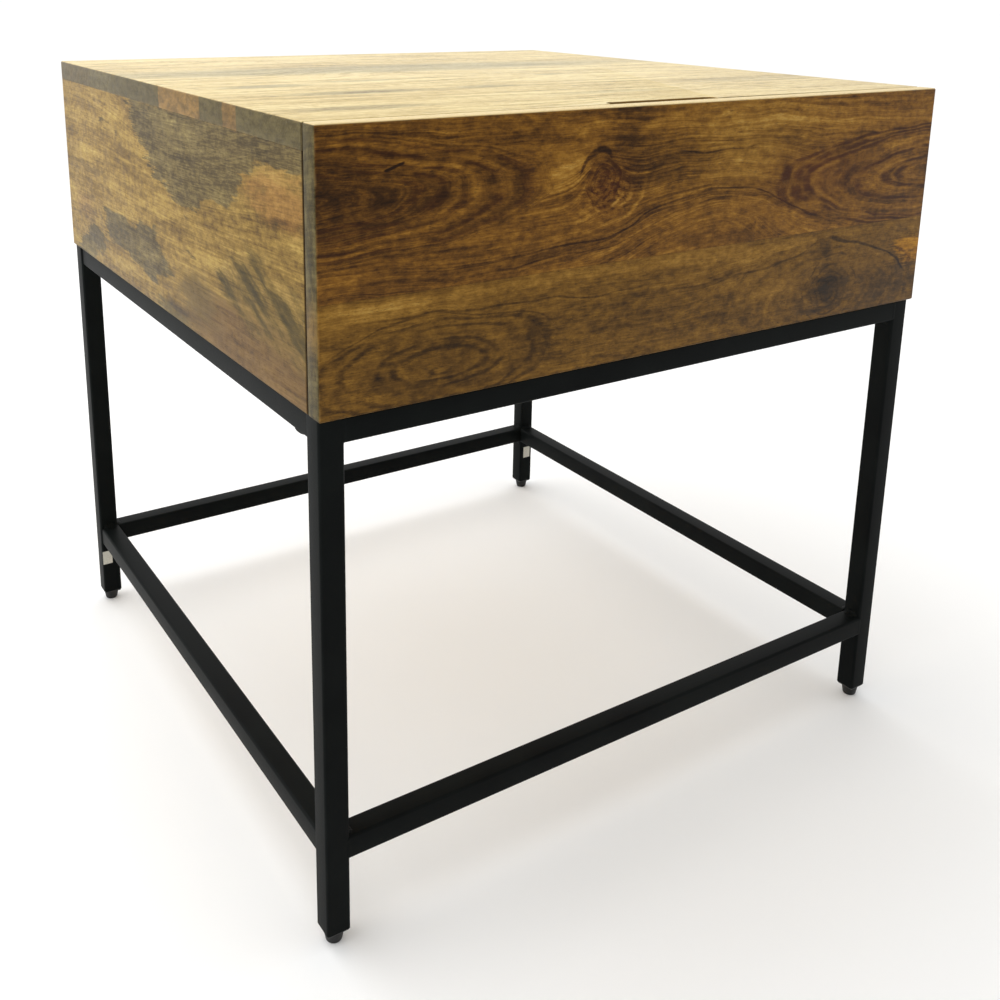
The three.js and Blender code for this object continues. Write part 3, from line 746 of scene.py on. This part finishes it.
def top_wood():
    """The table top: planks along X, pale partly as painted light, with darker block ends at its left and
    right edges.
    """
    graph = Graph("mango_top")
    x, y, z = graph.millimetres()
    low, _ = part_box("case_top")
    plank = 0.0
    seam = 0.0
    for place in TOP_JOINTS:
        plank = y.ramp(place - 0.1, place + 0.1) + plank
        seam = abs(y - place).ramp(0.0, 0.45, 1.0, 0.0) + seam
    wu, wv = wobble(graph, x, y, 5.0, (16.0, 5.0), (60.0, 22.0))
    plank_shift = z * 0.8 + plank * 137.0
    growth = wv + plank_shift
    for centre, size, lift in TOP_BULGES:
        growth = growth - hill(wu, wv, centre, size) * lift
    grain = Grain(graph, x, y + plank_shift, growth, 7.0)
    pick = graph.chance(graph.math("ROUND", plank))

    patches = graph.noise(x / 110.0, y / 26.0, plank * 5.0, detail=4.0, roughness=0.6) - 0.5
    strength = graph.noise(x / 120.0, y / 40.0, plank * 9.0, detail=1.5).ramp(0.35, 0.65, 0.35, 1.2)
    tone = 0.63 + grain.tone(1.2, 1.0, 0.8, 0.4) * strength + patches * 0.8 + (pick - 0.5) * 0.14
    tone = tone + grain.tone(0.0, 0.0, 0.4, 0.5) - grain.lines * 0.18 - seam * 0.15
    # The pale cream is partly painted light: the same wood as the sides, made lighter here as if lit from
    # above
    face = graph.colour_ramp(tone, [
        (0.0, "55441f"), (0.2, "8a7340"), (0.42, "b9a166"), (0.65, "d5be83"), (1.0, "ead9a0"),
    ])
    grey = graph.colour_ramp(tone, [(0.2, "544a30"), (0.5, "80744f"), (0.8, "aca077")])
    for centre, size, amount in TOP_SMUDGES:
        face = graph.mix(hill(wu, wv, centre, size).ramp(0.15, 0.8) * amount, face, grey)

    nx, _, nz = graph.normal()
    blotch = graph.noise(y / 9.0, z / 5.0, 49.0, detail=4.0, roughness=0.7)
    cut = end_grain(graph, y, z, 9.0) * 0.5 + blotch.ramp(0.32, 0.68) * 0.6
    front, rear = CAD_BOX[0].y * 1000, CAD_BOX[1].y * 1000
    share = (y - front + (blotch - 0.5) * 4.0) / (rear - front)
    end = graph.mix(cut * 0.8, graph.colour_steps(share, TOP_BLOCKS), linear("33290f"))
    face = graph.mix(abs(nx).ramp(0.6, 0.8), face, end)

    # The wall of the finger scoop, painted darker brown as painted shade in the recess:
    #     upright faces in a box a little larger than the scoop
    inward = y - low.y * 1000
    scoop = inward.ramp(1.0, 1.5) * inward.ramp(9.5, 10.5, 1.0, 0.0)
    scoop = scoop * abs(x).ramp(46.0, 47.0, 1.0, 0.0) * abs(nz).ramp(0.3, 0.6, 1.0, 0.0)
    face = graph.mix(scoop * 0.85, face, linear("8a642a"))
    return finish_wood(
        graph, "case_top", face, grain, roughness=0.38, pore_strength=0.3, pore_colour="6b5a34"
    )


def plain_wood(kind, node, along, across, stops, seed):
    """Plain planed wood for hidden boards. along and across are the numbers of axes, 0 to 2."""
    graph = Graph(f"{kind}_{node}")
    place = graph.millimetres()
    depth = 3 - along - across
    fibre = place[across] + place[depth] * 0.7
    grain = Grain(graph, place[along], fibre, fibre, seed)
    tone = 0.5 + grain.tone(0.8, 0.2, 0.5, 0.2) - grain.lines * 0.08
    face = graph.colour_ramp(tone, stops)
    return finish_wood(graph, node, face, grain, roughness=0.55)


# ---- Other materials ----

def powder_coat(name, node=None):
    """Satin black powder coat with fine orange peel and a little dust.

    On a node its edges are rubbed greyer, and the side tubes get painted shade at each end, by the legs.
    """
    graph = Graph(f"powder_coat_{name}")
    x, y, z = graph.millimetres()
    peel = graph.noise(x / 1.4, y / 1.4, z / 1.4, detail=2.0)
    drift = graph.noise(x / 45.0, y / 45.0, z / 45.0, detail=3.0)
    speck = graph.cells(x / 3.0, y / 3.0, z / 3.0).ramp(0.03, 0.07, 1.0, 0.0)
    colour = graph.colour_ramp(drift, [(0.3, "0a0c0c"), (0.7, "111413")])
    if node:
        worn = edge_distance(graph, node).ramp(0.3, 1.6, 1.0, 0.0) * drift.ramp(0.4, 0.65)
        colour = graph.mix(worn * 0.2, colour, linear("1c2021"))
    colour = graph.mix(speck * 0.2, colour, linear("3a3e40"))
    # Painted shade: a near-black line at each end of a side tube, in the crevice where it meets the leg
    if node in SIDE_TUBES:
        low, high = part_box(node)
        to_end = (high.y - low.y) * 500 - abs(y - (low.y + high.y) * 500)
        seam = to_end.ramp(0.3, 1.1, 1.0, 0.0)
        colour = graph.mix(seam, colour, linear("010101"))
    return graph.surface(
        Base_Color=colour,
        Roughness=0.46 + (drift - 0.5) * 0.14 + (peel - 0.5) * 0.08,
        Normal=graph.bump(peel, 0.00006),
        Specular_IOR_Level=0.04,
    )


def glide_plastic():
    """Matte black moulded plastic, scuffed where it meets the floor."""
    graph = Graph("glide_plastic")
    x, y, z = graph.millimetres()
    grit = graph.noise(x / 0.9, y / 0.9, z / 0.9, detail=3.0)
    scuff = z.ramp(0.2, 2.2, 1.0, 0.0) * grit.ramp(0.4, 0.65)
    colour = graph.mix(scuff * 0.35, linear("0d0d0d"), linear("45423d"))
    colour = graph.mix(grit * 0.3, colour, linear("1b1b1b"))
    return graph.surface(
        Base_Color=colour,
        Roughness=0.55 + (grit - 0.5) * 0.2,
        Normal=graph.bump(grit, 0.00008),
        Specular_IOR_Level=0.35,
    )


def label_paper(node):
    """Blank paper label, slightly mottled and darker at its rim."""
    graph = Graph(f"paper_{node}")
    x, y, z = graph.millimetres()
    fibre = graph.noise(x / 0.5, y / 0.5, z / 0.5, detail=4.0)
    rim = edge_distance(graph, node).ramp(0.0, 0.7, 1.0, 0.0)
    colour = graph.colour_ramp(fibre, [(0.3, "b9b5a8"), (0.7, "d6d2c4")])
    colour = graph.mix(rim * 0.2, colour, linear("8f8a7c"))
    return graph.surface(
        Base_Color=colour,
        Roughness=0.75 + (fibre - 0.5) * 0.2,
        Normal=graph.bump(fibre, 0.00003),
    )


def plated_steel(name, dark, light, roughness):
    """Plated steel with fine brush marks and duller patches."""
    graph = Graph(name)
    x, y, z = graph.millimetres()
    brush = graph.noise(x / 0.3, y / 8.0, z / 0.3, detail=3.0)
    patch = graph.noise(x / 14.0, y / 14.0, z / 14.0, detail=4.0)
    colour = graph.colour_ramp(brush * 0.5 + patch * 0.5, [(0.35, dark), (0.65, light)])
    return graph.surface(
        Base_Color=colour,
        Metallic=0.9,
        Roughness=roughness + (patch - 0.5) * 0.25 + (brush - 0.5) * 0.1,
        Normal=graph.bump(brush, 0.00002),
    )


def floor_material():
    """Pale, slightly uneven studio floor."""
    graph = Graph("pale_floor")
    x, y, _ = graph.millimetres()
    drift = graph.noise(x / 400.0, y / 400.0, 0.0, detail=3.0)
    grit = graph.noise(x / 2.0, y / 2.0, 0.0, detail=2.0)
    colour = graph.colour_ramp(drift, [(0.3, "fafaf9"), (0.7, "fdfdfc")])
    return graph.surface(
        Base_Color=colour,
        Roughness=0.75 + (grit - 0.5) * 0.1,
        Normal=graph.bump(grit, 0.00005),
        Specular_IOR_Level=0.2,
    )


def dress(node, material):
    """Gives a CAD node its material."""
    mesh = NODES[node].data
    mesh.materials.clear()
    mesh.materials.append(material)


# ---- Shape finish on the CAD nodes ----

def shading_nodes():
    """Geometry nodes that shade shallow edges smooth and leave the steeper ones sharp."""
    group = bpy.data.node_groups.new("smooth_shallow_edges", "GeometryNodeTree")
    group.interface.new_socket("Geometry", in_out="INPUT", socket_type="NodeSocketGeometry")
    group.interface.new_socket("Geometry", in_out="OUTPUT", socket_type="NodeSocketGeometry")
    entry = group.nodes.new("NodeGroupInput")
    leave = group.nodes.new("NodeGroupOutput")
    faces = group.nodes.new("GeometryNodeSetShadeSmooth")
    edges = group.nodes.new("GeometryNodeSetShadeSmooth")
    edges.domain = "EDGE"
    edges.inputs["Shade Smooth"].default_value = False
    angle = group.nodes.new("GeometryNodeInputMeshEdgeAngle")
    steep = group.nodes.new("FunctionNodeCompare")
    steep.data_type = "FLOAT"
    steep.operation = "GREATER_THAN"
    steep.inputs[1].default_value = math.radians(SMOOTH_ANGLE)
    link = group.links.new
    link(entry.outputs[0], faces.inputs["Geometry"])
    link(faces.outputs[0], edges.inputs["Geometry"])
    link(angle.outputs["Unsigned Angle"], steep.inputs[0])
    link(steep.outputs[0], edges.inputs["Selection"])
    link(edges.outputs[0], leave.inputs[0])
    return group


def soften(node, shading, rounding=None):
    """Rounds a node's edges a little and smooths its shading, with modifiers only."""
    thing = NODES[node]
    weld = thing.modifiers.new("weld", "WELD")
    weld.merge_threshold = 1e-6
    if rounding:
        bevel = thing.modifiers.new("rounded_edges", "BEVEL")
        bevel.width = rounding
        bevel.segments = 2
        bevel.limit_method = "ANGLE"
        bevel.angle_limit = math.radians(ROUNDED_ANGLE)
    smooth = thing.modifiers.new("smooth", "NODES")
    smooth.node_group = shading


# ---- Welds ----

def loft(mesh, sections):
    """Closed skin over a row of sections that have the same number of points."""
    loops = [[mesh.verts.new(point) for point in section] for section in sections]
    for first, second in zip(loops, loops[1:]):
        for i, vertex in enumerate(first):
            j = (i + 1) % len(first)
            mesh.faces.new((vertex, first[j], second[j], second[i]))
    mesh.faces.new(loops[0])
    mesh.faces.new(list(reversed(loops[-1])))


def fillet_weld(mesh, start, end, normals, rng):
    """Hollow, slightly rippled fillet along the corner between the surfaces that normals leave."""
    steps = 28
    sides = 6
    sections = []
    for step in range(steps + 1):
        share = step / steps
        taper = min(1.0, 5 * share + 0.15, 5 * (1 - share) + 0.15) ** 0.5
        ripple = 1 + 0.05 * math.sin(share * math.pi * 11) + rng.uniform(-0.03, 0.03)
        size = FILLET_SIZE * taper * ripple
        corner = start.lerp(end, share)
        section = [corner - (normals[0] + normals[1]) * WELD_ROOT]
        for side in range(sides + 1):
            angle = side / sides * math.pi / 2
            reach = [size * (1 - math.cos(angle)), size * (1 - math.sin(angle))]
            section.append(corner + normals[0] * reach[0] + normals[1] * reach[1])
        sections.append(section)
    loft(mesh, sections)


def flush_weld(mesh, start, end, out, sideways):
    """Weld ground flush over the groove between two tubes. It follows their rounded edges."""
    steps = 20
    length = (end - start).length
    sections = []
    for step in range(steps + 1):
        margin = min(step, steps - step) / steps * length
        drop = max(0.0, TUBE_CORNER - margin)
        recess = TUBE_CORNER - math.sqrt(TUBE_CORNER ** 2 - drop ** 2)
        centre = start.lerp(end, step / steps) - out * recess
        sections.append([centre + sideways * across + out * height for across, height in FLUSH_PROFILE])
    loft(mesh, sections)


def weld_lump(mesh, centre, half, rng):
    """A lump of weld metal: an uneven ellipsoid."""
    lump = bmesh.ops.create_icosphere(mesh, subdivisions=3, radius=1.0)
    for vertex in lump["verts"]:
        swell = rng.uniform(0.97, 1.03)
        vertex.co = centre + Vector(value * size * swell for value, size in zip(vertex.co, half))


def add_leg_welds(mesh, end, side, rng):
    """The welds of both rails and both stretchers at one leg. end and side are (name, sign).

    inner_x and inner_y are the leg's faces that the tubes meet. The long tubes run along X, and the
    side tubes run along Y.
    """
    leg_low, leg_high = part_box(f"leg_{end[0]}_{side[0]}")
    inner_x = leg_high.x if side[1] < 0 else leg_low.x
    inner_y = leg_high.y if end[1] < 0 else leg_low.y
    into_x = Vector((-side[1], 0, 0))
    into_y = Vector((0, -end[1], 0))
    up = Vector((0, 0, 1))
    for level in ("top_rail", "stretcher"):
        long_low, long_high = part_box(f"{level}_{end[0]}")
        side_low, side_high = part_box(f"{level}_{side[0]}")
        faces = [(-up, long_low.z)] if level == "top_rail" else [(-up, long_low.z), (up, long_high.z)]
        for out, z in faces:
            fillet_weld(
                mesh,
                Vector((inner_x, long_low.y + TUBE_CORNER, z)),
                Vector((inner_x, long_high.y - TUBE_CORNER, z)),
                (into_x, out),
                rng,
            )
            fillet_weld(
                mesh,
                Vector((side_low.x + TUBE_CORNER, inner_y, z)),
                Vector((side_high.x - TUBE_CORNER, inner_y, z)),
                (into_y, out),
                rng,
            )
        groove_x = inner_x - into_x.x * TUBE_CORNER / 2
        for y, out in ((long_low.y, Vector((0, -1, 0))), (long_high.y, Vector((0, 1, 0)))):
            flush_weld(
                mesh,
                Vector((groove_x, y, long_low.z)),
                Vector((groove_x, y, long_high.z)),
                out,
                into_x,
            )


def add_welds(coat):
    """One piece for each leg: its fillets and ground welds, and a lump under the left top rail."""
    rng = random.Random(11)
    for end in (("front", -1), ("rear", 1)):
        for side in (("left", -1), ("right", 1)):
            mesh = bmesh.new()
            add_leg_welds(mesh, end, side, rng)
            name = f"welds_{end[0]}_{side[0]}"
            if name == "welds_front_left":
                corner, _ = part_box("top_rail_left")
                weld_lump(mesh, corner + LUMP_PLACE, LUMP_HALF_SIZE, rng)
            bmesh.ops.recalc_face_normals(mesh, faces=mesh.faces)
            data = bpy.data.meshes.new(name)
            mesh.to_mesh(data)
            mesh.free()
            for face in data.polygons:
                face.use_smooth = True
            thing = bpy.data.objects.new(name, data)
            bpy.context.scene.collection.objects.link(thing)
            data.materials.append(coat)
            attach(thing, "table")


# ---- Stage ----

def add_floor():
    """A pale floor, wide enough for every view."""
    mesh = bmesh.new()
    bmesh.ops.create_grid(mesh, x_segments=8, y_segments=8, size=30)
    data = bpy.data.meshes.new("floor")
    mesh.to_mesh(data)
    mesh.free()
    floor = bpy.data.objects.new("floor", data)
    bpy.context.scene.collection.objects.link(floor)
    data.materials.append(floor_material())


def add_area_light(name, place, aim, size, energy):
    """A rectangular softbox that the camera doesn't see."""
    data = bpy.data.lights.new(name, "AREA")
    data.shape = "RECTANGLE"
    data.size, data.size_y = size
    data.energy = energy
    light = bpy.data.objects.new(name, data)
    light.location = place
    light.rotation_mode = "QUATERNION"
    light.rotation_quaternion = (Vector(aim) - Vector(place)).to_track_quat("-Z", "Y")
    light.visible_camera = False
    bpy.context.scene.collection.objects.link(light)


def add_world():
    """Soft surround light that is brighter behind and above the table than in front of it."""
    world = bpy.data.worlds.new("studio")
    world.use_nodes = True
    nodes, links = world.node_tree.nodes, world.node_tree.links
    background = nodes["Background"]
    coordinates = nodes.new("ShaderNodeTexCoord")
    aim = nodes.new("ShaderNodeVectorMath")
    aim.operation = "DOT_PRODUCT"
    aim.inputs[1].default_value = WORLD_AIM
    spread = nodes.new("ShaderNodeMapRange")
    spread.inputs["From Min"].default_value = -1.0
    spread.inputs["To Min"].default_value = WORLD_STRENGTH[0]
    spread.inputs["To Max"].default_value = WORLD_STRENGTH[1]
    links.new(coordinates.outputs["Generated"], aim.inputs[0])
    links.new(aim.outputs["Value"], spread.inputs["Value"])
    links.new(spread.outputs["Result"], background.inputs["Strength"])
    background.inputs["Color"].default_value = (1.0, 1.0, 1.0, 1.0)
    bpy.context.scene.world = world


def add_camera():
    """The camera at the photograph's viewing angle. Its yaw is measured from +Y towards +X."""
    yaw, pitch = math.radians(CAMERA_YAW), math.radians(CAMERA_PITCH)
    forward = Vector((
        math.sin(yaw) * math.cos(pitch),
        math.cos(yaw) * math.cos(pitch),
        math.sin(pitch),
    ))
    data = bpy.data.cameras.new("camera")
    data.lens = CAMERA_LENS
    data.shift_x, data.shift_y = CAMERA_SHIFT
    camera = bpy.data.objects.new("camera", data)
    turn = forward.to_track_quat("-Z", "Y").to_matrix() @ Matrix.Rotation(math.radians(CAMERA_ROLL), 3, "Z")
    camera.matrix_world = Matrix.Translation(CAMERA_PLACE) @ turn.to_4x4()
    bpy.context.scene.collection.objects.link(camera)
    bpy.context.scene.camera = camera


# ---- Putting it together ----

dress("drawer_front", front_wood())
dress("case_top", top_wood())
dress("case_side_left", side_wood("case_side_left", LEFT_BLOBS, LEFT_WARM, LEFT_FAN, seed=21.0))
dress("case_side_right", side_wood("case_side_right", RIGHT_BLOBS, RIGHT_WARM, RIGHT_FAN, seed=43.0))
dress("case_back", side_wood("case_back", BACK_BLOBS, BACK_WARM, BACK_FAN, seed=57.0))

# Hidden boards: (kind, node, axis along the grain, axis across it, colours, seed)
for kind, name, along, across, stops, seed in (
    ("box", "drawer_side_left", 1, 2, BOX_STOPS, 61.0),
    ("box", "drawer_side_right", 1, 2, BOX_STOPS, 68.0),
    ("box", "drawer_inner_front", 0, 2, BOX_STOPS, 77.0),
    ("box", "drawer_back", 0, 2, BOX_STOPS, 84.0),
    ("ply", "drawer_bottom", 0, 1, PLY_STOPS, 91.0),
    ("ply", "case_bottom", 0, 1, PLY_STOPS, 98.0),
):
    dress(name, plain_wood(kind, name, along, across, stops, seed))

for name in TUBES:
    dress(name, powder_coat(name, name))
black_plastic = glide_plastic()
for name in GLIDES:
    dress(name, black_plastic)
for name in LABELS:
    dress(name, label_paper(name))
black_steel = plated_steel("black_steel", "0e0e0f", "1d1d1e", 0.4)
for name in CASE_SCREWS:
    dress(name, black_steel)
zinc_steel = plated_steel("zinc_steel", "8d9094", "c3c6c9", 0.3)
for name in BRIGHT_STEEL:
    dress(name, zinc_steel)

shading = shading_nodes()
for name in BOARDS:
    soften(name, shading, EDGE_ROUNDING)
for name in TUBES + GLIDES + CASE_SCREWS + BRIGHT_STEEL:
    soften(name, shading)

add_welds(powder_coat("welds"))
add_floor()
add_world()
add_area_light("top_softbox", place=(-0.5, 0.9, 1.9), aim=(0, 0, 0.4), size=(1.8, 1.8), energy=12)
add_area_light("left_softbox", place=(-2.0, 0.3, 0.9), aim=(0, 0, 0.3), size=(1.2, 1.6), energy=10)
add_camera()
bpy.context.scene.view_settings.view_transform = "Standard"
